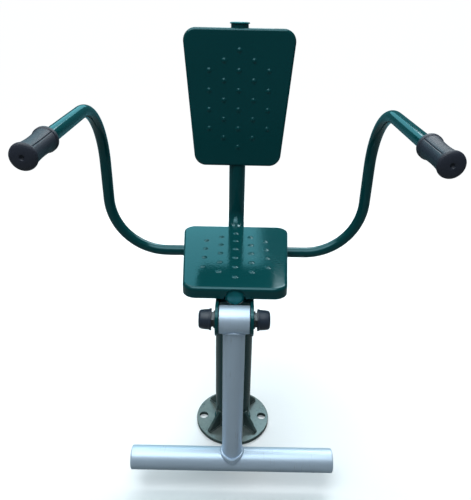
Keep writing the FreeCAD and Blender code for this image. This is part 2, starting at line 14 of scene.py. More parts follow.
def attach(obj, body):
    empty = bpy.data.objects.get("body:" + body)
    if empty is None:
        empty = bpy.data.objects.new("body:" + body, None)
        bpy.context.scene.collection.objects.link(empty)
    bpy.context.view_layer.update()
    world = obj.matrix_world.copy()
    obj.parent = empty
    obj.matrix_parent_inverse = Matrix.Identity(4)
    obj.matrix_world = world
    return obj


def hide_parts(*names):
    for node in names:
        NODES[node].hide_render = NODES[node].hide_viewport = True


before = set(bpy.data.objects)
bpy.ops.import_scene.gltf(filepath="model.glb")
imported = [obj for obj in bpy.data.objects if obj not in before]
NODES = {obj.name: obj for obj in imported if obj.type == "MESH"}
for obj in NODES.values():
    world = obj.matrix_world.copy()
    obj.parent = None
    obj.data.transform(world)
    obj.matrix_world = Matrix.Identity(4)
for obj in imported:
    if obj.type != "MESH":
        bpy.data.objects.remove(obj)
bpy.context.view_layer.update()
SCENE = bpy.context.scene
MM = 0.001
SIDES = {"left": -1, "right": 1}

# Camera that took the photograph, its focal length in pixels of a picture 500 pixels high
PHOTO_HEIGHT = 500
FOCAL_PIXELS = 498.0
CAMERA_PLACE = (0.0003, -1.1007, 1.0861)
CAMERA_PITCH = 26.0
CAMERA_YAW = -0.04
CAMERA_ROLL = -1.07

# Base and post
FLANGE_R = 103.5
FLANGE_T = 10.0
ANCHOR_COUNT = 4
ANCHOR_PCD = 168.0
ANCHOR_HOLE_D = 25.0
DRILL_DEPTH = 60.0
POST_D = 98.0
HEAD_R = 52.0
HEAD_LOW = 508.9
HEAD_TOP = 516.9
GUSSET_COUNT = 4
GUSSET_T = 8.0
GUSSET_REACH = 44.0
GUSSET_H = 50.0
GUSSET_TIP = 7.0
GUSSET_LAND = 6.0
PLATE_EASE = 0.9

# Pressed pans
PAN_LENGTH = 330.0
PAN_WIDE = 276.0
PAN_NARROW = 219.0
PAN_DEPTH = 25.0
PAN_SHEET = 2.5
PAN_CORNER_R = 30.0
PAN_EDGE_R = 7.0
NOTCH_R = 22.9
BUMP_ROWS = (1, 2, 3, 2, 3, 2, 3, 2, 3, 2, 1)
BUMP_COLUMN_STEP = 36.5
BUMP_ROW_STEP = 23.1
BUMP_D = 14.0
BUMP_H = 2.4
BUMP_RINGS = (0.14, 0.28, 0.42, 0.56, 0.7, 0.82, 0.92, 1.0, 1.1, 1.3)
BUMP_SPOKES = 26
PAN_CORNER_STEPS = 14
PAN_SIDE_STEPS = 9
NOTCH_STEPS = 20
RIM_RINGS = 16
RIM_CROWDING = 1.25
SEAT_CENTRE = Vector((0, -40, 560))
BACK_CENTRE_Z = 878.0
BACK_LEAN = math.radians(2.6)

# Spine and handlebar tubes
SPINE_D = 42.4
SPINE_DROP = 25.9
SPINE_BEND_R = 58.0
SPINE_FRONT_Y = -188.0
SPINE_CORNER_Y = 181.4
SPINE_TOP_PROUD = 9.0
SPINE_CAP_T = 4.0
SPINE_FRONT_LIP = 0.8
SPINE_FRONT_CROWN = 9.0
SPINE_TOP_LIP = 3.0
SPINE_TOP_CROWN = 1.4
BEAM_Z = SEAT_CENTRE.z - SPINE_DROP
HANDLE_D = 26.9
HANDLE_HALF_SPAN = 323.0
HANDLE_TOP_Z = 892.0
HANDLE_LOW_Z = 503.35
HANDLE_Y = 86.95
HANDLE_REACH = 453.0
HANDLE_SLOPE = math.radians(1.8)
HANDLE_HIGH_R = 150.0
HANDLE_LOW_R = 142.0
GRIP_END_T = 7.0
GRIP_WAIST_R = 18.75
GRIP_FLARE = 2.1
GRIP_MIDDLE = 53.5
GRIP_WAIST_HALF = 42.3
SEAM_WIDTH = 1.1
SEAM_SPAN = (10.0, 97.5)
SEAM_ANGLE = 46.0
GRIP_SKIN_R = 16.0

# Foot lever and pivot
PIVOT = Vector((0, -220, 493))
HUB_R = 30.15
HUB_BORE_R = 24.9
HUB_HALF = 32.5
LEVER_R = 24.15
FOOT_BAR_D = 57.0
FOOT_BAR_HALF = 242.5
FOOT_BAR_Z = 82.5
BAR_PLUG_PROUD = 4.0
EAR_INNER = 33.5
EAR_T = 7.0
EAR_R = 34.15
EAR_ROOT_Y = -107.85
EAR_ROOT_LOW = 504.9
EAR_ROOT_HIGH = 520.9
YOKE_LOW = 508.9
YOKE_FRONT = -177.85
CAP_INNER = 48.5

# Fixings under the pans
CLEAT_SPACING = 170.0
CLEAT_T = 4.0
STUD_OUT = 51.2
STUD_R = 3.9
STUD_LENGTH = 18.0
THREAD_PITCH = 1.35
WASHER_R = 8.0
WASHER_T = 1.6
NUT_H = 6.5
NUT_CORNER_R = 7.6
NUT_FLAT = 6.5

# Welds
WELD_WIDTH = 5.5
GUSSET_BEAD = 5.0
FOOT_BEAD = 9.0
FOOT_BEAD_LIFTS = (0.0, 4.0, 8.0)
RIPPLE_PITCH = 3.2
RIPPLE_DEPTH = 0.32
BEAD_UNEVENNESS = 0.3
BEAD_RING_STEPS = 12
CLEAT_WELD_OUT = 20.8
CLEAT_WELD_DROP = 31.2
CLEAT_WELD_HALF = 19.0

# Stage in metres: the floor, where its painted shade under the machine darkens behind and where it fades
# into the room
FLOOR_HALF = 9.0
FLOOR_FRONT = -6.0
FLOOR_BACK = 7.0
FLOOR_SWEEP_R = 2.5
FLOOR_TOP = 6.0
REFLECTED_SHADE_DARKENS = (0.2, 1.6)
FLOOR_FADES = (0.9, 2.4)

# Colours that several finishes share
DUST_AND_SHEEN_TINT = (0.3, 0.31, 0.28)
ROOM_TINT = (0.97, 0.98, 0.985)
BLACK = (0.0, 0.0, 0.0)

UP_SPINE = Vector((0, math.sin(BACK_LEAN), math.cos(BACK_LEAN)))
OUT_OF_BACK = Vector((0, -math.cos(BACK_LEAN), math.sin(BACK_LEAN)))
SPINE_CORNER = Vector((0, SPINE_CORNER_Y, BEAM_Z))
BACK_RISE = (BACK_CENTRE_Z - BEAM_Z - SPINE_DROP * math.sin(BACK_LEAN)) / math.cos(BACK_LEAN)
BACK_CENTRE = SPINE_CORNER + UP_SPINE * BACK_RISE + OUT_OF_BACK * SPINE_DROP
SPINE_TOP = SPINE_CORNER + UP_SPINE * (BACK_RISE + PAN_LENGTH / 2 + SPINE_TOP_PROUD)
SEAT_PLACE = Matrix.Translation(SEAT_CENTRE)
BACK_PLACE = Matrix.Translation(BACK_CENTRE) @ Matrix.Rotation(math.pi / 2 - BACK_LEAN, 4, "X")


# Node trees
def step(tree, kind, feeds=None, **settings):
    """New node. A socket, or a node for its first output, is linked; any other feed is set as a value."""
    node = tree.nodes.new(kind)
    for key, value in settings.items():
        setattr(node, key, value)
    for key, value in (feeds or {}).items():
        if isinstance(value, bpy.types.Node):
            value = value.outputs[0]
        if isinstance(value, bpy.types.NodeSocket):
            tree.links.new(value, node.inputs[key])
        else:
            node.inputs[key].default_value = value
    return node


def maths(tree, operation, first, second=0.0, clamp=False):
    node = step(tree, "ShaderNodeMath", {0: first, 1: second}, operation=operation, use_clamp=clamp)
    return node.outputs[0]


def times(tree, first, second, clamp=False):
    return maths(tree, "MULTIPLY", first, second, clamp)


def between(tree, value, start, end, **settings):
    """0 where the value is at start, 1 where it is at end."""
    feeds = {"Value": value, "From Min": start, "From Max": end}
    return step(tree, "ShaderNodeMapRange", feeds, **settings).outputs[0]


def object_place(tree):
    return step(tree, "ShaderNodeTexCoord").outputs["Object"]


def noise(tree, place, scale, detail):
    return step(tree, "ShaderNodeTexNoise", {"Vector": place, "Scale": scale, "Detail": detail}).outputs[0]


def open_tree(name, kind, inputs, outputs):
    """Node group with named sockets, which are floats or (name, kind), and its input and output nodes."""
    tree = bpy.data.node_groups.new(name, kind)
    for in_out, sockets in (("INPUT", inputs), ("OUTPUT", outputs)):
        for socket in sockets:
            label, sort = socket if isinstance(socket, tuple) else (socket, "Float")
            tree.interface.new_socket(label, in_out=in_out, socket_type="NodeSocket" + sort)
    return tree, tree.nodes.new("NodeGroupInput").outputs, tree.nodes.new("NodeGroupOutput").inputs


def geometry_tree(name, *sizes):
    """Geometry tree that takes a mesh, named sizes and a finish."""
    inputs = [("Geometry", "Geometry"), *sizes, ("Finish", "Material")]
    return open_tree(name, "GeometryNodeTree", inputs, [("Geometry", "Geometry")])


def mask_group(name, *inputs):
    """Shader group that gives one mask."""
    return open_tree(name, "ShaderNodeTree", inputs, ["Mask"])


def close_geometry(tree, geometry, given, out):
    """Every geometry tree ends in real faces with the finish set on them."""
    real = step(tree, "GeometryNodeRealizeInstances", {"Geometry": geometry})
    finished = step(tree, "GeometryNodeSetMaterial", {"Geometry": real, "Material": given["Finish"]})
    tree.links.new(finished.outputs[0], out["Geometry"])
    return tree


def swept(tree, line, width, ring_steps, scale=1.0):
    """Round section swept along a line."""
    ring = step(tree, "GeometryNodeCurvePrimitiveCircle",
                {"Resolution": ring_steps, "Radius": times(tree, width, 0.5)})
    return step(tree, "GeometryNodeCurveToMesh",
                {"Curve": line, "Profile Curve": ring, "Scale": scale, "Fill Caps": True})


def copied(tree, points, pattern, turn):
    """A turned copy of the pattern object on every point."""
    shape = step(tree, "GeometryNodeObjectInfo", {"Object": pattern})
    return step(tree, "GeometryNodeInstanceOnPoints",
                {"Points": points, "Instance": shape.outputs["Geometry"], "Rotation": turn})


def bent_tube_tree():
    """Round tube along a line of corner points, each corner bent to its own radius."""
    tree, given, out = geometry_tree(
        "bent_tube", "Tube diameter", ("Bend steps", "Int"), ("Ring steps", "Int"))
    line = step(tree, "GeometryNodeMeshToCurve", {"Mesh": given["Geometry"]})
    bend = step(tree, "GeometryNodeInputNamedAttribute", {"Name": "bend"}, data_type="FLOAT")
    bent = step(tree, "GeometryNodeFilletCurve",
                {"Curve": line, "Count": given["Bend steps"], "Radius": bend, "Limit Radius": True},
                mode="POLY")
    whole = swept(tree, bent, given["Tube diameter"], given["Ring steps"])
    return close_geometry(tree, whole, given, out)


def weld_bead_tree():
    """Rippled weld bead along every line of the mesh: each ripple starts full and thins towards the next."""
    tree, given, out = geometry_tree("weld_bead", "Bead width", "Ripple pitch", "Ripple depth", "Unevenness")
    line = step(tree, "GeometryNodeMeshToCurve", {"Mesh": given["Geometry"]})
    spacing = maths(tree, "DIVIDE", given["Ripple pitch"], 5.0)
    stepped = step(tree, "GeometryNodeResampleCurve", {"Curve": line, "Length": spacing}, mode="LENGTH")
    along = step(tree, "GeometryNodeSplineParameter").outputs["Length"]
    ripple = maths(tree, "FRACT", maths(tree, "DIVIDE", along, given["Ripple pitch"]))
    thinned = times(tree, times(tree, ripple, ripple), given["Ripple depth"])
    wander = step(tree, "ShaderNodeTexNoise", {"Scale": 0.16, "Detail": 2.0})
    uneven = times(tree, maths(tree, "SUBTRACT", wander, 0.5), given["Unevenness"])
    scale = maths(tree, "ADD", maths(tree, "SUBTRACT", 1.0, thinned), uneven)
    bead = swept(tree, stepped, given["Bead width"], BEAD_RING_STEPS, scale)
    return close_geometry(tree, bead, given, out)


def press_bumps_tree():
    """Raises a smooth round bump in a flat sheet at every point of the pattern."""
    tree, given, out = geometry_tree("press_bumps", ("Pattern", "Object"), "Bump diameter", "Bump height")
    pattern = step(tree, "GeometryNodeObjectInfo", {"Object": given["Pattern"]})
    near = step(tree, "GeometryNodeProximity", {0: pattern.outputs["Geometry"]}, target_element="POINTS")
    across = times(tree, near.outputs["Distance"], 2.0)
    reach = maths(tree, "DIVIDE", across, given["Bump diameter"])
    dome = maths(tree, "SUBTRACT", 1.0, times(tree, reach, reach), clamp=True)
    rise = times(tree, maths(tree, "POWER", dome, 1.4), given["Bump height"])
    offset = step(tree, "ShaderNodeCombineXYZ", {"Z": rise})
    pressed = step(tree, "GeometryNodeSetPosition", {"Geometry": given["Geometry"], "Offset": offset})
    return close_geometry(tree, pressed, given, out)


def round_the_post_tree():
    """Copies of one stiffener, evenly turned about the Z axis."""
    tree, given, out = geometry_tree(
        "round_the_post", ("Stiffener", "Object"), ("Count", "Int"), "First angle")
    points = step(tree, "GeometryNodePoints", {"Count": given["Count"]})
    index = step(tree, "GeometryNodeInputIndex")
    share = maths(tree, "DIVIDE", times(tree, index, math.tau), given["Count"])
    turn = step(tree, "ShaderNodeCombineXYZ", {"Z": maths(tree, "ADD", share, given["First angle"])})
    return close_geometry(tree, copied(tree, points, given["Stiffener"], turn), given, out)


def set_on_points_tree():
    """One copy of a fixing on every point of the mesh, its Z axis along the point's aim."""
    tree, given, out = geometry_tree("set_on_points", ("Fixing", "Object"))
    points = step(tree, "GeometryNodeMeshToPoints", {"Mesh": given["Geometry"]})
    aim = step(tree, "GeometryNodeInputNamedAttribute", {"Name": "aim"}, data_type="FLOAT_VECTOR")
    turn = step(tree, "FunctionNodeAlignRotationToVector", {"Vector": aim}, axis="Z")
    return close_geometry(tree, copied(tree, points, given["Fixing"], turn), given, out)


def drilled_plate_tree():
    """Plate with evenly spaced round holes on a pitch circle about the Z axis."""
    tree, given, out = geometry_tree("drilled_plate", ("Hole count", "Int"), "Pitch circle", "Hole diameter")
    radius = times(tree, given["Pitch circle"], 0.5)
    circle = step(tree, "GeometryNodeMeshCircle", {"Vertices": given["Hole count"], "Radius": radius})
    hole_r = times(tree, given["Hole diameter"], 0.5)
    drill = step(tree, "GeometryNodeMeshCylinder", {"Vertices": 48, "Radius": hole_r, "Depth": DRILL_DEPTH})
    drills = step(tree, "GeometryNodeInstanceOnPoints", {"Points": circle, "Instance": drill})
    solid = step(tree, "GeometryNodeRealizeInstances", {"Geometry": drills})
    cut = step(tree, "GeometryNodeMeshBoolean", {"Mesh 1": given["Geometry"], "Mesh 2": solid},
               operation="DIFFERENCE", solver="EXACT")
    return close_geometry(tree, cut, given, out)


# Meshes
def made_mesh(points, edges=(), faces=()):
    mesh = bpy.data.meshes.new("shape")
    mesh.from_pydata([tuple(point) for point in points], list(edges), list(faces))
    mesh.update()
    return mesh


def placed(name, data):
    """New object in the scene that holds a mesh, a light or a camera."""
    holder = bpy.data.objects.new(name, data)
    SCENE.collection.objects.link(holder)
    return holder


def taken_off(holder):
    """Plain mesh of the holder with its modifiers, and the holder removed."""
    bpy.context.view_layer.update()
    shaped = holder.evaluated_get(bpy.context.evaluated_depsgraph_get())
    mesh = bpy.data.meshes.new_from_object(shaped)
    bpy.data.objects.remove(holder)
    return mesh


def grown(tree, mesh, sizes):
    """Plain mesh that a geometry tree makes from mesh, its inputs set by name."""
    holder = placed(tree.name, mesh)
    modifier = holder.modifiers.new(tree.name, "NODES")
    modifier.node_group = tree
    for item in tree.interface.items_tree:
        if item.in_out == "INPUT" and item.name in sizes:
            modifier[item.identifier] = sizes[item.name]
    return taken_off(holder)


def faced_out(mesh, sheet=False):
    """Every face turned outwards: a solid's, with doubled points merged, or an open sheet's, along +Z."""
    work = bmesh.new()
    work.from_mesh(mesh)
    if not sheet:
        bmesh.ops.remove_doubles(work, verts=work.verts, dist=0.0005)
    bmesh.ops.recalc_face_normals(work, faces=work.faces)
    if sheet and sum(face.normal.z * face.calc_area() for face in work.faces) < 0:
        bmesh.ops.reverse_faces(work, faces=work.faces)
    work.to_mesh(mesh)
    work.free()
    return mesh


def softened(mesh, sharp_angle):
    """Smooth shading, with edges over the sharp angle in degrees kept sharp."""
    mesh.shade_smooth()
    mesh.set_sharp_from_angle(angle=math.radians(sharp_angle))
    return mesh


def joined(meshes):
    """One mesh of several, which are used up."""
    work = bmesh.new()
    for mesh in meshes:
        work.from_mesh(mesh)
    whole = bpy.data.meshes.new("joined")
    work.to_mesh(whole)
    work.free()
    return whole


def moved(mesh, matrix):
    mesh.transform(matrix)
    return mesh


def laid(mesh, place, angle, axis):
    """The mesh turned about an axis, then moved to its place."""
    return moved(mesh, Matrix.Translation(place) @ Matrix.Rotation(angle, 4, axis))


def turns_round(steps):
    """Angles of even steps round a circle."""
    return [math.tau * count / steps for count in range(steps)]


def ring_points(radius, height, steps):
    return [(radius * math.cos(turn), radius * math.sin(turn), height) for turn in turns_round(steps)]


def eased_line(corners, steps=6):
    """Points of a line through (x, y, radius) corners, with an arc wherever an inner corner has a radius."""
    line = []
    for index, (x, y, radius) in enumerate(corners):
        corner = Vector((x, y))
        if radius <= 0 or index in (0, len(corners) - 1):
            line.append(corner)
            continue
        before = (Vector(corners[index - 1][:2]) - corner).normalized()
        after = (Vector(corners[index + 1][:2]) - corner).normalized()
        half_angle = before.angle(after) / 2
        run = radius / math.tan(half_angle)
        middle = (before + after).normalized()
        centre = corner + middle * (radius / math.sin(half_angle))
        start = corner + before * run - centre
        end = corner + after * run - centre
        sweep = start.angle_signed(end)
        for count in range(steps + 1):
            turn = -sweep * count / steps
            line.append(centre + Matrix.Rotation(turn, 2) @ start)
    return line


def turned(profile, turns=72, looped=False):
    """Solid turned about the Z axis from (radius, height) points; a looped profile makes a ring."""
    points = []
    rings = []
    for radius, height in profile:
        if radius < 1e-6:
            rings.append([len(points)] * turns)
            points.append((0, 0, height))
            continue
        rings.append(list(range(len(points), len(points) + turns)))
        points += ring_points(radius, height, turns)
    faces = []
    pairs = list(zip(rings, rings[1:]))
    if looped:
        pairs.append((rings[-1], rings[0]))
    for low, high in pairs:
        for count in range(turns):
            after = (count + 1) % turns
            corners = [low[count], low[after], high[after], high[count]]
            face = [corner for spot, corner in enumerate(corners) if corner not in corners[:spot]]
            if len(face) > 2:
                faces.append(face)
    return faced_out(made_mesh(points, faces=faces))


def plate(outline, thickness, ease):
    """Flat plate in the XY plane, thickness upwards, its edges eased."""
    count = len(outline)
    low = [(x, y, 0) for x, y in outline]
    high = [(x, y, thickness) for x, y in outline]
    faces = [list(range(count))[::-1], list(range(count, 2 * count))]
    for index in range(count):
        after = (index + 1) % count
        faces.append([index, after, count + after, count + index])
    holder = placed("plate", faced_out(made_mesh(low + high, faces=faces)))
    bevel = holder.modifiers.new("ease", "BEVEL")
    bevel.width = ease
    bevel.segments = 3
    bevel.limit_method = "ANGLE"
    bevel.angle_limit = math.radians(40)
    return softened(taken_off(holder), 40.0)


def line_mesh(lines):
    """Mesh of open and closed lines of points, each given as (points, closed)."""
    points = []
    edges = []
    for line, closed in lines:
        start = len(points)
        points += line
        edges += [(start + index, start + index + 1) for index in range(len(line) - 1)]
        if closed:
            edges.append((len(points) - 1, start))
    return made_mesh(points, edges)


def tube(corners, diameter, finish, ring_steps=72):
    """Tube mesh through (place, bend radius) corners."""
    line = line_mesh([([place for place, _ in corners], False)])
    bend = line.attributes.new("bend", "FLOAT", "POINT")
    bend.data.foreach_set("value", [radius for _, radius in corners])
    sizes = {"Tube diameter": diameter, "Bend steps": 28, "Ring steps": ring_steps, "Finish": finish}
    return softened(grown(BENT_TUBE, line, sizes), 40.0)


def welded(lines, width, finish):
    sizes = {"Bead width": width, "Ripple pitch": RIPPLE_PITCH, "Ripple depth": RIPPLE_DEPTH,
             "Unevenness": BEAD_UNEVENNESS, "Finish": finish}
    return softened(grown(WELD_BEAD, line_mesh(lines), sizes), 80.0)


def paint(mesh, finish):
    mesh.materials.clear()
    mesh.materials.append(finish)


def set_in(name, mesh, stands_for=(), finish=None, body="frame", slot="green_paint"):
    """Finished piece: in metres, at the origin, riding on its body."""
    if finish:
        paint(mesh, finish)
    mesh.transform(Matrix.Scale(MM, 4))
    mesh.name = name
    shown = placed(name, mesh)
    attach(shown, body)
    if stands_for:
        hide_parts(*stands_for)


# Shared surface effects
def drift_group():
    """Slow change of tone over a surface, and the fine unevenness of a sprayed or moulded skin."""
    inputs = ["Drift scale", "Skin scale", "Skin detail"]
    tree, given, out = open_tree("tone_and_skin", "ShaderNodeTree", inputs, ["Drift", "Skin"])
    place = object_place(tree)
    tree.links.new(noise(tree, place, given["Drift scale"], 3.0), out["Drift"])
    tree.links.new(noise(tree, place, given["Skin scale"], given["Skin detail"]), out["Skin"])
    return tree


def edge_rub_group():
    """Mask of the edges that hands, shoes and handling rub, broken up in patches."""
    tree, given, out = mask_group("edge_rub", "Rub width", "Patch scale", "Amount")
    rounded = step(tree, "ShaderNodeBevel", {"Radius": given["Rub width"]}, samples=6)
    flat = step(tree, "ShaderNodeNewGeometry").outputs["Normal"]
    facing = step(tree, "ShaderNodeVectorMath", {0: rounded, 1: flat}, operation="DOT_PRODUCT")
    edge = between(tree, facing.outputs["Value"], 0.985, 0.86)
    patch = noise(tree, object_place(tree), given["Patch scale"], 5.0)
    broken = between(tree, patch, 0.5, 0.68)
    mask = times(tree, times(tree, edge, broken), given["Amount"], clamp=True)
    tree.links.new(mask, out["Mask"])
    return tree


def dust_and_sheen_group():
    """Mask of dust on upward faces, thicker near the ground; on the base paint the upward part is also a
    painted sheen.
    """
    tree, given, out = mask_group("settled_dust", "Amount", "Ground amount", "Ground height")
    coordinates = step(tree, "ShaderNodeTexCoord")
    upward = step(tree, "ShaderNodeSeparateXYZ", {0: coordinates.outputs["Normal"]}).outputs["Z"]
    lying = between(tree, upward, 0.8, 0.98)
    height = step(tree, "ShaderNodeSeparateXYZ", {0: coordinates.outputs["Object"]}).outputs["Z"]
    above = maths(tree, "DIVIDE", height, given["Ground height"])
    near_ground = maths(tree, "SUBTRACT", 1.0, above, clamp=True)
    grain = step(tree, "ShaderNodeTexNoise",
                 {"Vector": coordinates.outputs["Object"], "Scale": 55.0, "Detail": 6.0, "Roughness": 0.7})
    speckle = ranged(tree, between(tree, grain, 0.32, 0.7), 0.75, 1.25)
    ground = times(tree, near_ground, given["Ground amount"])
    film = maths(tree, "ADD", times(tree, lying, given["Amount"]), ground)
    both = times(tree, film, speckle, clamp=True)
    tree.links.new(both, out["Mask"])
    return tree


def scuff_group():
    """Mask of fine scratches that run one way, in worn patches."""
    tree, given, out = mask_group("scuffs", ("Stretch", "Vector"), "Amount", "Patch scale")
    place = object_place(tree)
    stretched = step(tree, "ShaderNodeVectorMath", {0: place, 1: given["Stretch"]}, operation="MULTIPLY")
    line = noise(tree, stretched, 1.0, 4.0)
    thin = between(tree, line, 0.62, 0.7)
    patch = noise(tree, place, given["Patch scale"], 2.0)
    worn = between(tree, patch, 0.45, 0.65)
    mask = times(tree, times(tree, thin, worn), given["Amount"], clamp=True)
    tree.links.new(mask, out["Mask"])
    return tree


def flake_group():
    """Brightness of small metal flakes or crystals, about the middle grey."""
    tree, given, out = open_tree("flakes", "ShaderNodeTree", ["Flake scale"], ["Flake"])
    cells = step(tree, "ShaderNodeTexVoronoi", {"Vector": object_place(tree), "Scale": given["Flake scale"]})
    grey = step(tree, "ShaderNodeSeparateColor", {0: cells.outputs["Color"]})
    tree.links.new(grey.outputs[0], out["Flake"])
    return tree


def use_group(tree, group, values):
    return step(tree, "ShaderNodeGroup", values, node_tree=group).outputs


def blended(tree, mask, under, over):
    """Colour that goes from under to over with the mask."""
    mix = step(tree, "ShaderNodeMix", {"Factor": mask}, data_type="RGBA")
    for name, value in (("A", under), ("B", over)):
        socket = [one for one in mix.inputs if one.name == name and one.type == "RGBA"][0]
        if isinstance(value, bpy.types.NodeSocket):
            tree.links.new(value, socket)
        else:
            socket.default_value = (*value, 1.0)
    return [one for one in mix.outputs if one.type == "RGBA"][0]


def ranged(tree, value, low, high):
    return step(tree, "ShaderNodeMapRange", {"Value": value, "To Min": low, "To Max": high}).outputs[0]


def bare_material(name):
    material = bpy.data.materials.new(name)
    material.use_nodes = True
    tree = material.node_tree
    return material, tree, tree.nodes["Principled BSDF"]


def dress(tree, surface, colour, rough, skin, depth):
    """Gives the surface its colour, its roughness and the relief of its skin."""
    bump = step(tree, "ShaderNodeBump", {"Height": skin, "Distance": depth})
    for value, socket in ((colour, "Base Color"), (rough, "Roughness"), (bump.outputs[0], "Normal")):
        tree.links.new(value, surface.inputs[socket])


# Finishes
def enamel(name, deep, light, worn, dust, ground, rub):
    """Glossy sprayed enamel: slow drift of tone, orange peel, a little dust (on the base paint also a
    painted sheen on upward faces) and rubbed edges.
    """
    material, tree, surface = bare_material(name)
    skin = use_group(tree, DRIFT, {"Drift scale": 5.0, "Skin scale": 260.0, "Skin detail": 1.0})
    colour = blended(tree, skin["Drift"], deep, light)
    edge = use_group(tree, EDGE_RUB, {"Rub width": 0.0016, "Patch scale": 38.0, "Amount": rub})
    colour = blended(tree, edge["Mask"], colour, worn)
    film = use_group(tree, DUST_AND_SHEEN, {"Amount": dust, "Ground amount": ground, "Ground height": 0.09})
    colour = blended(tree, film["Mask"], colour, DUST_AND_SHEEN_TINT)
    dusty = times(tree, film["Mask"], 0.5)
    rough = maths(tree, "ADD", ranged(tree, skin["Drift"], 0.07, 0.11), dusty)
    rough = maths(tree, "ADD", rough, times(tree, edge["Mask"], 0.3))
    # Painted reflection: the gloss is tinted sky blue, as if blue sky were mirrored in it.
    surface.inputs["Specular Tint"].default_value = (0.5, 0.9, 1.0, 1.0)
    dress(tree, surface, colour, rough, skin["Skin"], 0.00012)
    return material


def silver_paint(name):
    """Aluminium paint: fine flake, soft gloss, shoe scuffs and a little dust near the ground."""
    material, tree, surface = bare_material(name)
    skin = use_group(tree, DRIFT, {"Drift scale": 7.0, "Skin scale": 420.0, "Skin detail": 2.0})
    flake = use_group(tree, FLAKES, {"Flake scale": 2600.0})
    # Blue in the base and flake colours is partly the paint's own tone, partly a painted reflection of blue
    # sky.
    colour = blended(tree, skin["Drift"], (0.56, 0.68, 0.82), (0.6, 0.73, 0.87))
    colour = blended(tree, times(tree, flake["Flake"], 0.16), colour, (0.7, 0.8, 0.9))
    scuff = use_group(tree, SCUFFS, {"Stretch": (520.0, 30.0, 30.0), "Amount": 0.5, "Patch scale": 9.0})
    colour = blended(tree, scuff["Mask"], colour, (0.3, 0.33, 0.36))
    edge = use_group(tree, EDGE_RUB, {"Rub width": 0.0014, "Patch scale": 60.0, "Amount": 0.5})
    colour = blended(tree, edge["Mask"], colour, (0.75, 0.78, 0.8))
    film = use_group(tree, DUST_AND_SHEEN, {"Amount": 0.04, "Ground amount": 0.1, "Ground height": 0.06})
    colour = blended(tree, film["Mask"], colour, DUST_AND_SHEEN_TINT)
    surface.inputs["Metallic"].default_value = 0.5
    dusty = times(tree, film["Mask"], 0.3)
    rough = maths(tree, "ADD", ranged(tree, flake["Flake"], 0.4, 0.5), dusty)
    dress(tree, surface, colour, rough, skin["Skin"], 0.0001)
    return material


def moulded(name, dark, pale, roughness, grain_scale, grain_depth):
    """Moulded rubber or plastic: matt grain, slow drift of tone, pale rubbed edges and a little dust."""
    material, tree, surface = bare_material(name)
    skin = use_group(tree, DRIFT, {"Drift scale": 18.0, "Skin scale": grain_scale, "Skin detail": 4.0})
    colour = blended(tree, skin["Drift"], dark, pale)
    edge = use_group(tree, EDGE_RUB, {"Rub width": 0.001, "Patch scale": 90.0, "Amount": 0.35})
    colour = blended(tree, edge["Mask"], colour, [2.2 * part for part in pale])
    film = use_group(tree, DUST_AND_SHEEN, {"Amount": 0.02, "Ground amount": 0.0, "Ground height": 0.1})
    colour = blended(tree, film["Mask"], colour, DUST_AND_SHEEN_TINT)
    rough = maths(tree, "ADD", ranged(tree, skin["Skin"], roughness - 0.07, roughness + 0.07), film["Mask"])
    dress(tree, surface, colour, rough, skin["Skin"], grain_depth)
    return material


def plated_steel(name, tint, roughness, flake_scale, spread):
    """Zinc plate or bright bearing steel, with crystals or fine machining in its tone."""
    material, tree, surface = bare_material(name)
    skin = use_group(tree, DRIFT, {"Drift scale": 25.0, "Skin scale": 900.0, "Skin detail": 2.0})
    flake = use_group(tree, FLAKES, {"Flake scale": flake_scale})
    dull = [part * (1 - spread) for part in tint]
    colour = blended(tree, flake["Flake"], dull, tint)
    edge = use_group(tree, EDGE_RUB, {"Rub width": 0.0006, "Patch scale": 120.0, "Amount": 0.6})
    colour = blended(tree, edge["Mask"], colour, (0.86, 0.86, 0.85))
    surface.inputs["Metallic"].default_value = 1.0
    rough = ranged(tree, skin["Drift"], roughness - 0.06, roughness + 0.1)
    dress(tree, surface, colour, rough, skin["Skin"], 0.00003)
    return material


def floor_paint():
    """Pale to the camera, fading into the room; to the machine a painted shade and reflection: grey ground
    near it, dark green far behind.
    """
    material, tree, surface = bare_material("pale_floor")
    skin = use_group(tree, DRIFT, {"Drift scale": 0.7, "Skin scale": 60.0, "Skin detail": 3.0})
    pale = blended(tree, skin["Drift"], (0.91, 0.915, 0.92), (0.94, 0.945, 0.95))
    place = object_place(tree)
    back = step(tree, "ShaderNodeSeparateXYZ", {0: place}).outputs["Y"]
    far = between(tree, back, *REFLECTED_SHADE_DARKENS)
    # Painted shade: grey under the machine cuts the light bouncing up, and dark green far behind is a
    # painted reflection in the seat.
    ground = blended(tree, far, (0.19, 0.195, 0.19), (0.02, 0.1, 0.12))
    seen = step(tree, "ShaderNodeLightPath").outputs["Is Camera Ray"]
    reach = step(tree, "ShaderNodeVectorMath", {0: place}, operation="LENGTH").outputs["Value"]
    haze = between(tree, reach, *FLOOR_FADES, interpolation_type="SMOOTHSTEP")
    pale = blended(tree, haze, pale, BLACK)
    tree.links.new(blended(tree, seen, ground, pale), surface.inputs["Base Color"])
    surface.inputs["Emission Color"].default_value = (*ROOM_TINT, 1.0)
    tree.links.new(times(tree, seen, haze), surface.inputs["Emission Strength"])
    surface.inputs["Roughness"].default_value = 0.85
    return material


# Pans
def pan_arcs(inset):
    """Four rounded corners of the pan's outline, moved in by inset, from the narrow left one on."""
    turn = math.atan2((PAN_WIDE - PAN_NARROW) / 2, PAN_LENGTH)
    slant = inset / math.cos(turn)
    wide = PAN_WIDE / 2 - slant - inset * math.tan(turn)
    narrow = PAN_NARROW / 2 - slant + inset * math.tan(turn)
    end = PAN_LENGTH / 2 - inset
    corners = [Vector((-narrow, -end)), Vector((narrow, -end)), Vector((wide, end)), Vector((-wide, end))]
    arcs = []
    for index, corner in enumerate(corners):
        line = [(*corners[index - 1], 0), (*corner, PAN_CORNER_R - inset), (*corners[(index + 1) % 4], 0)]
        arcs.append(eased_line(line, PAN_CORNER_STEPS)[1:-1])
    return arcs


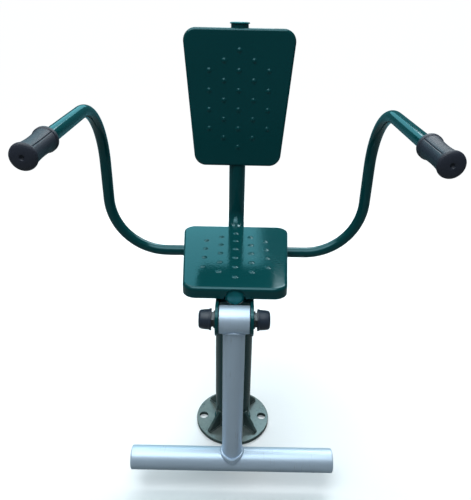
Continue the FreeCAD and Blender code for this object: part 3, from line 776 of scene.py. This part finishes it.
@lru_cache(maxsize=None)
def pan_outline(inset):
    """Outline points in order, and for each the distance across a notch from its middle, or None."""
    arcs = pan_arcs(inset)
    points = []
    notch = []
    for index, arc in enumerate(arcs):
        points += arc
        notch += [None] * len(arc)
        follow = arcs[(index + 1) % 4][0]
        if index % 2 == 0:
            across = [-NOTCH_R * math.cos(math.pi * count / NOTCH_STEPS) for count in range(NOTCH_STEPS + 1)]
            heading = 1 if index == 0 else -1
            points += [Vector((heading * x, arc[-1].y)) for x in across]
            notch += across
        else:
            points += [arc[-1].lerp(follow, count / PAN_SIDE_STEPS) for count in range(1, PAN_SIDE_STEPS)]
            notch += [None] * (PAN_SIDE_STEPS - 1)
    return points, notch


def rim_section(along):
    """Inset and height at a distance along the section of the rim: the rounded edge, then the skirt."""
    arc = PAN_EDGE_R * math.pi / 2
    if along < arc:
        turn = along / PAN_EDGE_R
        return PAN_EDGE_R * (1 - math.sin(turn)), PAN_EDGE_R * (math.cos(turn) - 1)
    return 0.0, -PAN_EDGE_R - (along - arc)


def rim_length(across):
    """How far the section runs: to the foot of the skirt, or to the arch over the spine."""
    arc = PAN_EDGE_R * math.pi / 2
    if across is None:
        return arc + PAN_DEPTH - PAN_EDGE_R
    arch = max(-PAN_DEPTH, math.sqrt(max(0.0, NOTCH_R ** 2 - across ** 2)) - SPINE_DROP)
    if arch > -PAN_EDGE_R:
        return PAN_EDGE_R * math.acos((arch + PAN_EDGE_R) / PAN_EDGE_R)
    return arc - arch - PAN_EDGE_R


def bump_places():
    places = []
    for row, count in enumerate(BUMP_ROWS):
        along = (row - (len(BUMP_ROWS) - 1) / 2) * BUMP_ROW_STEP
        places += [Vector(((2 * index - count + 1) * BUMP_COLUMN_STEP, along, 0)) for index in range(count)]
    return places


def pan_sheet():
    """Flat face with close rings of points round every bump, then the rounded edge and the skirt."""
    edge, notch = pan_outline(PAN_EDGE_R + 1.0)
    count = len(edge)
    flat = list(edge)
    for place in bump_places():
        flat.append(place.xy)
        for ring, share in enumerate(BUMP_RINGS):
            turns = [math.tau * (spoke + ring % 2 / 2) / BUMP_SPOKES for spoke in range(BUMP_SPOKES)]
            reach = share * BUMP_D / 2
            flat += [place.xy + Vector((math.cos(turn), math.sin(turn))) * reach for turn in turns]
    border = [(index, (index + 1) % count) for index in range(count)]
    spots, _, triangles, origins, _, _ = delaunay_2d_cdt(flat, border, [], 1, 1e-4)
    same = {old: new for new, group in enumerate(origins) for old in group}
    points = [(x, y, 0.0) for x, y in spots]
    faces = [list(face) for face in triangles]
    ring_before = [same[index] for index in range(count)]
    for ring in range(RIM_RINGS + 1):
        ring_now = []
        share = (ring / RIM_RINGS) ** RIM_CROWDING
        for index in range(count):
            inset, height = rim_section(share * rim_length(notch[index]))
            spot = pan_outline(round(inset, 6))[0][index]
            ring_now.append(len(points))
            points.append((spot.x, spot.y, height))
        for index in range(count):
            after = (index + 1) % count
            faces.append([ring_before[index], ring_before[after], ring_now[after], ring_now[index]])
        ring_before = ring_now
    return faced_out(made_mesh(points, faces=faces), sheet=True)


def pressed_pan():
    """One pan in its own frame: X across, Y towards the wide end, Z out of the face."""
    pattern = placed("bump_pattern", made_mesh(bump_places()))
    sizes = {"Pattern": pattern, "Bump diameter": BUMP_D, "Bump height": BUMP_H, "Finish": GREEN}
    sheet = grown(PRESS_BUMPS, pan_sheet(), sizes)
    bpy.data.objects.remove(pattern)
    holder = placed("pan", sheet)
    wall = holder.modifiers.new("wall", "SOLIDIFY")
    wall.thickness = PAN_SHEET
    wall.offset = -1.0
    wall.use_even_offset = True
    return softened(taken_off(holder), 38.0)


# Turned pieces
def lathed(corners, turns=72, looped=False):
    """Turned piece from (radius, height, easing radius) corners."""
    return softened(turned(eased_line(corners), turns, looped), 45.0)


def grip_mesh(side):
    """Waisted rubber grip from its closed end at Z = 0, dimpled there, with two mould seams along it."""
    crown = [(0, 4.0), (2.0, 3.4), (3.2, 2.3), (3.9, 0.9), (4.5, 0.25), (5.6, 0.1), (10.0, 0.45),
             (15.0, 1.25), (18.8, 2.3), (20.9, 3.5), (22.0, 5.1), (22.45, 6.9), (22.45, 8.2), (22.0, 9.2),
             (21.0, 9.7), (20.7, 10.3), (20.9, 11.0)]
    waist = []
    for count in range(1, 18):
        share = count / 9 - 1
        waist.append((GRIP_WAIST_R + GRIP_FLARE * share * share, GRIP_MIDDLE + GRIP_WAIST_HALF * share))
    collar = [(20.9, 96.0), (20.7, 96.7), (21.0, 97.3), (22.0, 97.8), (22.45, 98.7), (22.45, 105.0),
              (21.9, 106.5), (20.6, 107.0), (15.0, 107.0), (13.55, 106.4), (13.55, 8.0), (0, 8.0)]
    mesh = turned(crown + waist + collar, turns=180)
    seam_angle = -math.radians(SEAM_ANGLE if side < 0 else 180 - SEAM_ANGLE)
    for point in mesh.vertices:
        radius = point.co.xy.length
        if SEAM_SPAN[0] < point.co.z < SEAM_SPAN[1] and radius > GRIP_SKIN_R:
            turn = math.atan2(point.co.y, point.co.x) - seam_angle
            aside = abs(math.remainder(turn, math.pi)) * radius
            point.co.xy *= 1 - SEAM_WIDTH / radius * max(0.0, 1 - aside / SEAM_WIDTH)
    return softened(mesh, 50.0)


def shaft_cap_mesh():
    """Push-on cover from its flared rim at Z = 0 to its domed end, hollow over the nut."""
    hollow = [(0, 21.0, 0), (17.5, 21.0, 0), (17.5, 0, 0)]
    skin = [(23.2, 0, 0.8), (23.2, 3.6, 0.9), (21.7, 4.6, 0.6), (21.0, 15.0, 12.0), (19.3, 26.4, 6.5),
            (8.0, 27.0, 4.0), (0, 27.0, 0)]
    return lathed(hollow + skin)


def spine_cap_mesh(lip_r, crown):
    """Domed cap from the tube's end at Z = 0: a lip and a crowned face below it, a plug above it."""
    plug_r = SPINE_D / 2 - 3.1
    face = -SPINE_CAP_T + 1.4
    dome = [(0, face - crown, 0), (0.8 * lip_r, face - 0.9 * crown, 9.0), (lip_r, face - 0.2 * crown, 2.0)]
    plug = [(lip_r, -0.1, 0.3), (plug_r, 0.1, 0.2), (plug_r, 13.4, 1.5), (0, 14.0, 0)]
    return lathed(dome + plug)


def plug_mesh():
    """Foot bar plug from its face at Z = 0 to the end inside the tube."""
    bar_r = FOOT_BAR_D / 2
    head = [(0, 0, 0), (bar_r - 8, 0.25, 6.0), (bar_r, 0.9, 2.6), (bar_r, 3.7, 0.5), (bar_r - 0.9, 4.0, 0.2)]
    shank = [(bar_r - 3, 4.2, 0.2), (bar_r - 3, 21.0, 2.0), (0, 22.0, 0)]
    return lathed(head + shank, turns=96)


def hub_mesh():
    ring = [(HUB_BORE_R, -HUB_HALF, 0), (HUB_R, -HUB_HALF, 1.2), (HUB_R, HUB_HALF, 1.2),
            (HUB_BORE_R, HUB_HALF, 0)]
    return lathed(ring, turns=96, looped=True)


def head_plate_mesh():
    line = [(0, HEAD_LOW, 0), (HEAD_R, HEAD_LOW, 1.0), (HEAD_R, HEAD_TOP, 1.0), (0, HEAD_TOP, 0)]
    return lathed(line, turns=96)


def flange_mesh():
    line = [(0, 0, 0), (FLANGE_R, 0, 0.6), (FLANGE_R, FLANGE_T, 1.6), (0, FLANGE_T, 0)]
    blank = turned(eased_line(line), turns=128)
    sizes = {"Hole count": ANCHOR_COUNT, "Pitch circle": ANCHOR_PCD, "Hole diameter": ANCHOR_HOLE_D,
             "Finish": SHADED_BASE_GREEN}
    return softened(grown(DRILLED_PLATE, blank, sizes), 24.0)


def stud_fixing_mesh():
    """Weld stud with its washer and nut, hanging along +Z from the sheet at Z = 0."""
    thread = [(0, 0), (STUD_R, 0)]
    for count in range(10):
        thread += [(STUD_R, 4.0 + THREAD_PITCH * count), (3.35, 4.6 + THREAD_PITCH * count)]
    stud = turned(thread + [(3.2, STUD_LENGTH), (0, STUD_LENGTH)], turns=20)
    foot = CLEAT_T + WASHER_T
    ring = [(4.0, CLEAT_T, 0), (WASHER_R, CLEAT_T, 0.3), (WASHER_R, foot, 0.4), (4.0, foot, 0)]
    washer = turned(eased_line(ring, steps=2), turns=36, looped=True)
    top = foot + NUT_H
    section = [(STUD_R, foot), (NUT_CORNER_R, foot), (NUT_CORNER_R, top), (STUD_R, top)]
    blank = turned(section, turns=36, looped=True)
    for point in blank.vertices:
        radius = point.co.xy.length
        if radius > 5.0:
            turn = math.remainder(math.atan2(point.co.y, point.co.x), math.pi / 3)
            flat = NUT_FLAT / math.cos(turn)
            point.co.xy *= flat / radius
            point.co.z += (1 if point.co.z < foot + 3 else -1) * 0.5 * max(0.0, flat - 6.7)
    return softened(joined([stud, washer, blank]), 30.0)


# Flat pieces
def ear_outline():
    """Lug outline as (along Y, height): round about the shaft, tapering back to its root."""
    centre = Vector((PIVOT.y, PIVOT.z))
    ends = []
    for root_z, sign in ((EAR_ROOT_HIGH, 1), (EAR_ROOT_LOW, -1)):
        reach = Vector((EAR_ROOT_Y, root_z)) - centre
        ends.append(math.atan2(reach.y, reach.x) + sign * math.acos(EAR_R / reach.length))
    sweep = (ends[1] - ends[0]) % math.tau
    line = [(EAR_ROOT_Y, EAR_ROOT_LOW), (EAR_ROOT_Y, EAR_ROOT_HIGH)]
    for count in range(41):
        turn = ends[0] + sweep * count / 40
        line.append(tuple(centre + Vector((math.cos(turn), math.sin(turn))) * EAR_R))
    return line


def stiffener_mesh():
    """One gusset in the XZ plane, its root on the post, with weld beads along both sides of its edges."""
    root = POST_D / 2 - 0.4
    tip = POST_D / 2 + GUSSET_REACH
    foot = FLANGE_T
    outline = [(root, foot), (tip, foot), (tip, foot + GUSSET_TIP), (root + GUSSET_LAND, foot + GUSSET_H),
               (root, foot + GUSSET_H)]
    body = laid(plate(outline, GUSSET_T, PLATE_EASE), (0, GUSSET_T / 2, 0), math.pi / 2, "X")
    lines = []
    for side in (-1, 1):
        y = side * (GUSSET_T / 2 + 0.6)
        lines.append(([(x, y, foot + 0.6) for x in (tip - 2, root + 3)], False))
        lines.append(([(root + 1.2, y, foot + rise) for rise in (3, GUSSET_H - 1)], False))
    return joined([body, welded(lines, GUSSET_BEAD, SHADED_BASE_GREEN)])


# Weld lines
def saddle_line(axis_z, cross_r, sign, swell=0.8, steps=80, lift=0.0):
    """Where the lever meets a cross tube's skin: a line around the lever, lifted at front and rear."""
    line = []
    for turn in turns_round(steps):
        out = Vector((math.cos(turn), math.sin(turn), 0))
        y = LEVER_R * out.y
        skin = math.sqrt(cross_r ** 2 - y ** 2)
        place = Vector((LEVER_R * out.x, PIVOT.y + y, axis_z + sign * skin + lift * out.y ** 2))
        line.append(place + (out + Vector((0, y, sign * skin)) / cross_r) * swell)
    return line, True


def crossing_line(steps=40):
    """Where the handlebar lies in the underside of the beam."""
    beam_r = SPINE_D / 2
    bar_r = HANDLE_D / 2
    half = math.sqrt(beam_r ** 2 - (BEAM_Z - HANDLE_LOW_Z - bar_r) ** 2)
    line = []
    for turn in turns_round(steps):
        x = half * math.cos(turn)
        z = BEAM_Z - math.sqrt(beam_r ** 2 - x ** 2)
        aside = math.sqrt(max(0.0, bar_r ** 2 - (z - HANDLE_LOW_Z) ** 2))
        line.append((x, HANDLE_Y + math.copysign(aside, math.sin(turn)), z))
    return line, True


def frame_weld_lines():
    lines = [(ring_points(POST_D / 2 + 0.8, FLANGE_T + 0.8, 90), True),
             (ring_points(POST_D / 2 + 0.4, HEAD_LOW - 0.3, 90), True), crossing_line()]
    seat_half = math.sqrt((SPINE_D / 2) ** 2 - (BEAM_Z - HEAD_TOP) ** 2)
    for side in (-1, 1):
        x = side * (seat_half + 0.8)
        lines.append(([(x, y, HEAD_TOP + 0.4) for y in (-POST_D / 2, POST_D / 2)], False))
        x = side * (EAR_INNER - 0.6)
        for z in (YOKE_LOW - 0.4, HEAD_TOP + 0.4):
            lines.append(([(x, y, z) for y in (YOKE_FRONT + 3, EAR_ROOT_Y - 3)], False))
        for place in (SEAT_PLACE, BACK_PLACE):
            for end in (-1, 1):
                foot = Vector((side * CLEAT_WELD_OUT, end * CLEAT_SPACING / 2, -CLEAT_WELD_DROP))
                ends = [foot + Vector((0, reach, 0)) for reach in (-CLEAT_WELD_HALF, CLEAT_WELD_HALF)]
                lines.append(([place @ point for point in ends], False))
    return lines


# Stage
def set_camera():
    data = bpy.data.cameras.new("camera")
    data.sensor_width = 36.0
    data.lens = FOCAL_PIXELS * data.sensor_width / PHOTO_HEIGHT
    data.clip_start = 0.02
    camera = placed("camera", data)
    pitch, yaw, roll = (math.radians(turn) for turn in (CAMERA_PITCH, CAMERA_YAW, CAMERA_ROLL))
    ahead = Vector((math.sin(yaw) * math.cos(pitch), math.cos(yaw) * math.cos(pitch), -math.sin(pitch)))
    right = Vector((math.cos(yaw), -math.sin(yaw), 0))
    down = ahead.cross(right)
    across = right * math.cos(roll) + down * math.sin(roll)
    lower = down * math.cos(roll) - right * math.sin(roll)
    turn = Matrix((across, -lower, -ahead)).transposed()
    camera.matrix_world = Matrix.Translation(CAMERA_PLACE) @ turn.to_4x4()
    SCENE.camera = camera


def soft_light(name, place, aim, size, power, tint):
    data = bpy.data.lights.new(name, "AREA")
    data.shape = "RECTANGLE"
    data.size, data.size_y = size
    data.energy = power
    data.color = tint
    light = placed(name, data)
    light.location = place
    light.rotation_euler = (Vector(aim) - Vector(place)).to_track_quat("-Z", "Y").to_euler()
    light.visible_camera = False


def set_stage():
    """Pale floor that sweeps up far behind, a pale room and five soft lights."""
    corners = [(FLOOR_FRONT, 0, 0), (FLOOR_BACK, 0, FLOOR_SWEEP_R), (FLOOR_BACK, FLOOR_TOP, 0)]
    section = eased_line(corners, steps=24)
    points = [(x, y, z) for x in (-FLOOR_HALF, FLOOR_HALF) for y, z in section]
    count = len(section)
    faces = [[index, count + index, count + index + 1, index + 1] for index in range(count - 1)]
    floor = placed("floor", softened(made_mesh(points, faces=faces), 60.0))
    floor.data.materials.append(floor_paint())
    world = bpy.data.worlds.new("pale_room")
    world.use_nodes = True
    tree = world.node_tree
    seen = step(tree, "ShaderNodeLightPath").outputs["Is Camera Ray"]
    room = blended(tree, seen, (0.109, 0.125, 0.14), ROOM_TINT)
    tree.links.new(room, tree.nodes["Background"].inputs["Color"])
    SCENE.world = world
    soft_light("overhead", (-0.6, 0.2, 4.2), (0, 0.1, 0.5), (4.0, 4.0), 122.0, (0.86, 0.97, 1.0))
    soft_light("front_high", (-0.5, -1.5, 3.3), (0, -0.1, 0.5), (2.8, 2.0), 46.0, (0.9, 0.97, 1.0))
    soft_light("backdrop", (0, 3.0, 4.0), (0, 6.0, 0.4), (10.0, 2.0), 420.0, (1.0, 1.0, 1.0))
    soft_light("rear_high", (0.9, 2.6, 3.2), (0, 0.2, 0.6), (2.4, 1.6), 60.0, (0.9, 0.97, 1.0))
    soft_light("sky_panel", (-1.35, 5.0, 3.3), (0, -0.1, 0.56), (3.6, 2.6), 40.0, (0.3, 0.86, 1.0))
    SCENE.view_settings.view_transform = "Standard"


BENT_TUBE = bent_tube_tree()
WELD_BEAD = weld_bead_tree()
PRESS_BUMPS = press_bumps_tree()
ROUND_THE_POST = round_the_post_tree()
SET_ON_POINTS = set_on_points_tree()
DRILLED_PLATE = drilled_plate_tree()
DRIFT = drift_group()
EDGE_RUB = edge_rub_group()
DUST_AND_SHEEN = dust_and_sheen_group()
SCUFFS = scuff_group()
FLAKES = flake_group()

GREEN = enamel("green_enamel", deep=(0.001, 0.044, 0.0475), light=(0.0015, 0.054, 0.058),
               worn=(0.04, 0.12, 0.12), dust=0.004, ground=0.0, rub=0.5)
# Painted shade: a darker copy of the frame's green enamel for the post, flange and gussets low under the
# seat.
SHADED_BASE_GREEN = enamel("base_green_enamel", deep=(0.001, 0.028, 0.029), light=(0.0015, 0.037, 0.038),
                    # Its heavy dust on upward faces is part dust, part a painted sheen of sky on the flange
                    # top.
                    worn=(0.08, 0.14, 0.13), dust=0.17, ground=0.3, rub=0.7)
SILVER = silver_paint("silver_paint")
RUBBER = moulded("grip_rubber", (0.016, 0.02, 0.033), (0.026, 0.032, 0.051), 0.52, 1500.0, 0.00008)
PLASTIC = moulded("cap_plastic", (0.015, 0.025, 0.042), (0.022, 0.035, 0.056), 0.42, 700.0, 0.00005)
# Painted light: the caps' green is about three times lighter than the frame green, because the front cap
# sits in the seat's shadow.
LIT_GREEN_PLASTIC = enamel("green_plastic", deep=(0.001, 0.14, 0.15), light=(0.002, 0.155, 0.166),
                       worn=(0.03, 0.19, 0.2), dust=0.0, ground=0.0, rub=0.3)
SEAL = moulded("seal_rubber", (0.012, 0.012, 0.013), (0.02, 0.02, 0.022), 0.6, 1200.0, 0.00004)
# Painted shade: the zinc is far darker than bright zinc, for the washers and nuts seen in the dark gaps
# beside the caps.
SHADED_ZINC = plated_steel("zinc_plate", (0.11, 0.122, 0.13), 0.45, 420.0, 0.18)
BEARING = plated_steel("bearing_steel", (0.7, 0.7, 0.69), 0.2, 3000.0, 0.08)


def handle_end(side):
    drop = HANDLE_REACH * math.tan(HANDLE_SLOPE)
    return Vector((side * HANDLE_HALF_SPAN, HANDLE_Y - HANDLE_REACH, HANDLE_TOP_Z - drop))


def dress_frame():
    """Pieces that stand still."""
    pan = pressed_pan()
    set_in("pressed_seat", moved(pan.copy(), SEAT_PLACE), ["seat_pan"])
    set_in("pressed_backrest", moved(pan, BACK_PLACE), ["backrest_pan"])
    spine = [((0, SPINE_FRONT_Y, BEAM_Z), 0), (SPINE_CORNER, SPINE_BEND_R), (SPINE_TOP, 0)]
    set_in("bent_spine", tube(spine, SPINE_D, GREEN), ["spine_tube"])
    bar = []
    for side in (-1, 1):
        arm = [(handle_end(side), 0),
               ((side * HANDLE_HALF_SPAN, HANDLE_Y, HANDLE_TOP_Z), HANDLE_HIGH_R),
               ((side * HANDLE_HALF_SPAN, HANDLE_Y, HANDLE_LOW_Z), HANDLE_LOW_R)]
        bar += arm if side < 0 else arm[::-1]
    set_in("bent_handlebar", tube(bar, HANDLE_D, GREEN, ring_steps=56), ["handlebar"])
    post = [((0, 0, FLANGE_T), 0), ((0, 0, HEAD_LOW), 0)]
    set_in("round_post", tube(post, POST_D, SHADED_BASE_GREEN, ring_steps=96), ["main_post"])
    set_in("drilled_flange", flange_mesh(), ["base_flange"])
    set_in("head_plate", head_plate_mesh(), ["post_head_plate"], GREEN)
    gusset = placed("stiffener", stiffener_mesh())
    sizes = {"Stiffener": gusset, "Count": GUSSET_COUNT, "First angle": math.pi / 4, "Finish": SHADED_BASE_GREEN}
    stiffeners = grown(ROUND_THE_POST, made_mesh([(0, 0, 0)]), sizes)
    bpy.data.objects.remove(gusset)
    set_in("stiffeners", stiffeners, ["base_gussets"])
    set_in("frame_welds", welded(frame_weld_lines(), WELD_WIDTH, GREEN))
    for name, side in SIDES.items():
        ear = plate(ear_outline(), EAR_T, PLATE_EASE)
        ear.transform(Matrix(((0, 0, 1, 0), (1, 0, 0, 0), (0, 1, 0, 0), (0, 0, 0, 1))))
        ear.transform(Matrix.Translation((EAR_INNER if side > 0 else -EAR_INNER - EAR_T, 0, 0)))
        set_in("lug_" + name, ear, ["pivot_ear_" + name], GREEN)
        grip = moved(grip_mesh(side), Matrix.Translation((0, 0, -GRIP_END_T)))
        grip = laid(grip, handle_end(side), HANDLE_SLOPE - math.pi / 2, "X")
        set_in("rubber_grip_" + name, grip, ["grip_" + name], RUBBER, slot="grip_rubber")
        cap = laid(shaft_cap_mesh(), PIVOT + Vector((side * CAP_INNER, 0, 0)), side * math.pi / 2, "Y")
        set_in("domed_cap_" + name, cap, ["shaft_cap_" + name], PLASTIC, slot="black_plastic")
    cap = spine_cap_mesh(SPINE_D / 2 + SPINE_FRONT_LIP, SPINE_FRONT_CROWN)
    cap = laid(cap, (0, SPINE_FRONT_Y, BEAM_Z), -math.pi / 2, "X")
    set_in("beam_end_cap", cap, ["spine_front_cap"], LIT_GREEN_PLASTIC, slot="green_plastic")
    cap = spine_cap_mesh(SPINE_D / 2 + SPINE_TOP_LIP, SPINE_TOP_CROWN)
    cap = laid(cap, SPINE_TOP, math.pi - BACK_LEAN, "X")
    set_in("spine_end_cap", cap, ["spine_top_cap"], LIT_GREEN_PLASTIC, slot="green_plastic")
    fixing = placed("stud_fixing", stud_fixing_mesh())
    for pan_name, place in (("seat", SEAT_PLACE), ("backrest", BACK_PLACE)):
        spots = [place @ Vector((x * STUD_OUT, y * CLEAT_SPACING / 2, -PAN_SHEET))
                 for x in (-1, 1) for y in (-1, 1)]
        points = made_mesh(spots)
        aim = points.attributes.new("aim", "FLOAT_VECTOR", "POINT")
        for value in aim.data:
            value.vector = -(place.to_3x3() @ Vector((0, 0, 1)))
        fixings = grown(SET_ON_POINTS, points, {"Fixing": fixing, "Finish": SHADED_ZINC})
        stood = [pan_name + ending for ending in ("_studs", "_washers", "_nuts")]
        set_in(pan_name + "_fixings", fixings, stood, slot="zinc_steel")
    bpy.data.objects.remove(fixing)


def dress_lever():
    """Pieces that swing with the foot lever."""
    moving = {"body": "lever", "slot": "silver_paint"}
    bar = [((side * FOOT_BAR_HALF, PIVOT.y, FOOT_BAR_Z), 0) for side in (-1, 1)]
    set_in("round_foot_bar", tube(bar, FOOT_BAR_D, SILVER, ring_steps=96), ["foot_bar"], **moving)
    for name, side in SIDES.items():
        place = (side * (FOOT_BAR_HALF + BAR_PLUG_PROUD), PIVOT.y, FOOT_BAR_Z)
        plug = laid(plug_mesh(), place, -side * math.pi / 2, "Y")
        set_in("bar_plug_" + name, plug, ["foot_bar_plug_" + name], SILVER, **moving)
    set_in("round_hub", laid(hub_mesh(), PIVOT, math.pi / 2, "Y"), ["hub_sleeve"], SILVER, **moving)
    hub_bead = welded([saddle_line(PIVOT.z, HUB_R, -1)], WELD_WIDTH, SILVER)
    passes = [saddle_line(FOOT_BAR_Z, FOOT_BAR_D / 2, 1, lift=lift) for lift in FOOT_BEAD_LIFTS]
    foot_bead = welded(passes, FOOT_BEAD, SILVER)
    set_in("lever_welds", joined([hub_bead, foot_bead]), (), SILVER, **moving)


def finish_solids():
    """Finishes for the solids that stay as they are."""
    finishes = {
        GREEN: ["seat_cleats", "backrest_cleats", "yoke_plate"],
        SILVER: ["lever_tube"],
        SHADED_ZINC: ["pivot_shaft", "shaft_washers", "shaft_nuts", "shaft_collars", "bearing_spacer"],
        BEARING: ["bearing_inner_rings", "bearing_outer_rings", "bearing_balls", "hub_circlips"],
        SEAL: ["bearing_seals"],
    }
    for finish, names in finishes.items():
        for name in names:
            paint(NODES[name].data, finish)


set_camera()
set_stage()
dress_frame()
dress_lever()
finish_solids()
